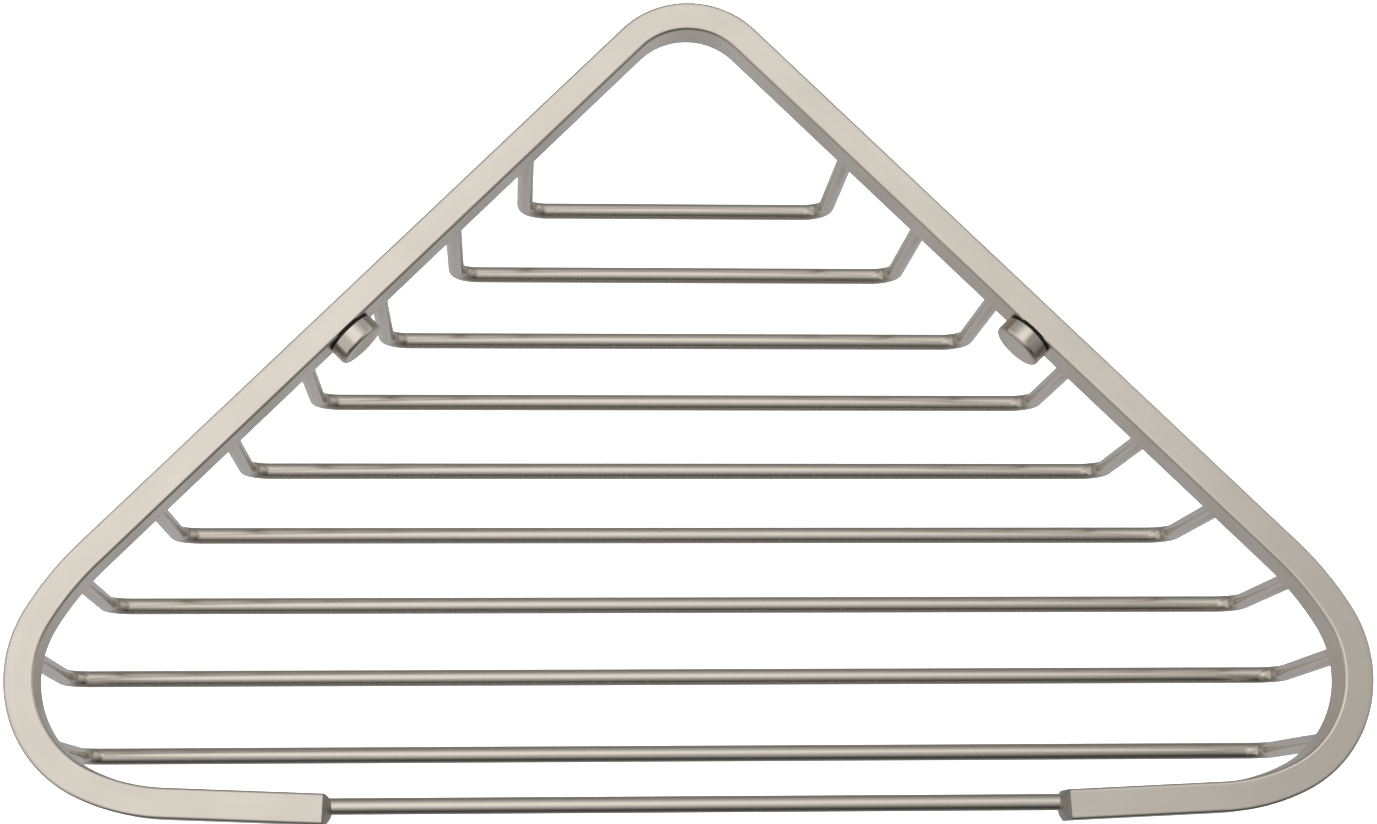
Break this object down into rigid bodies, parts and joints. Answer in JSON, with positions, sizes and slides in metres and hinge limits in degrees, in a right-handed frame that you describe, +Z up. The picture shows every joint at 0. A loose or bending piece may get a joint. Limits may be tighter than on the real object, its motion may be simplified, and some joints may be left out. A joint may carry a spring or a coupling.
{
  "type": "corner shower basket",
  "caption": "Triangular wall-mounted corner basket: bent flat-bar rim, hanging U-shaped wires as the floor, thin front rod and round push-on caps over its wall fixings.",
  "frame": {"origin": "centre of the bounding box, at the underside of the basket wires that the part rests on", "axes": "+X to the basket's right, +Y towards the wall corner that the apex fits, +Z up"},
  "size_m": [0.271, 0.1688, 0.0528],
  "materials": {
    "satin_nickel": "fine brushed satin nickel plate",
    "black_nylon": "moulded, matt"
  },
  "bodies": {
    "basket": {"rim_bar": "satin_nickel", "front_rod": "satin_nickel", "basket_wire_1": "satin_nickel", "basket_wire_2": "satin_nickel", "basket_wire_3": "satin_nickel", "basket_wire_4": "satin_nickel", "basket_wire_5": "satin_nickel", "basket_wire_6": "satin_nickel", "basket_wire_7": "satin_nickel", "basket_wire_8": "satin_nickel", "basket_wire_9": "satin_nickel", "left_cap_collar": "black_nylon", "right_cap_collar": "black_nylon"},
    "left_cap": {"left_screw_cap": "satin_nickel"},
    "right_cap": {"right_screw_cap": "satin_nickel"}
  },
  "joints": [
    {"name": "left_cap_pull", "type": "slide", "parent": "basket", "child": "left_cap", "axis": [0.7071, -0.7071, 0], "range_m": [0, 0.008]},
    {"name": "right_cap_pull", "type": "slide", "parent": "basket", "child": "right_cap", "axis": [-0.7071, -0.7071, 0], "range_m": [0, 0.008]}
  ]
}
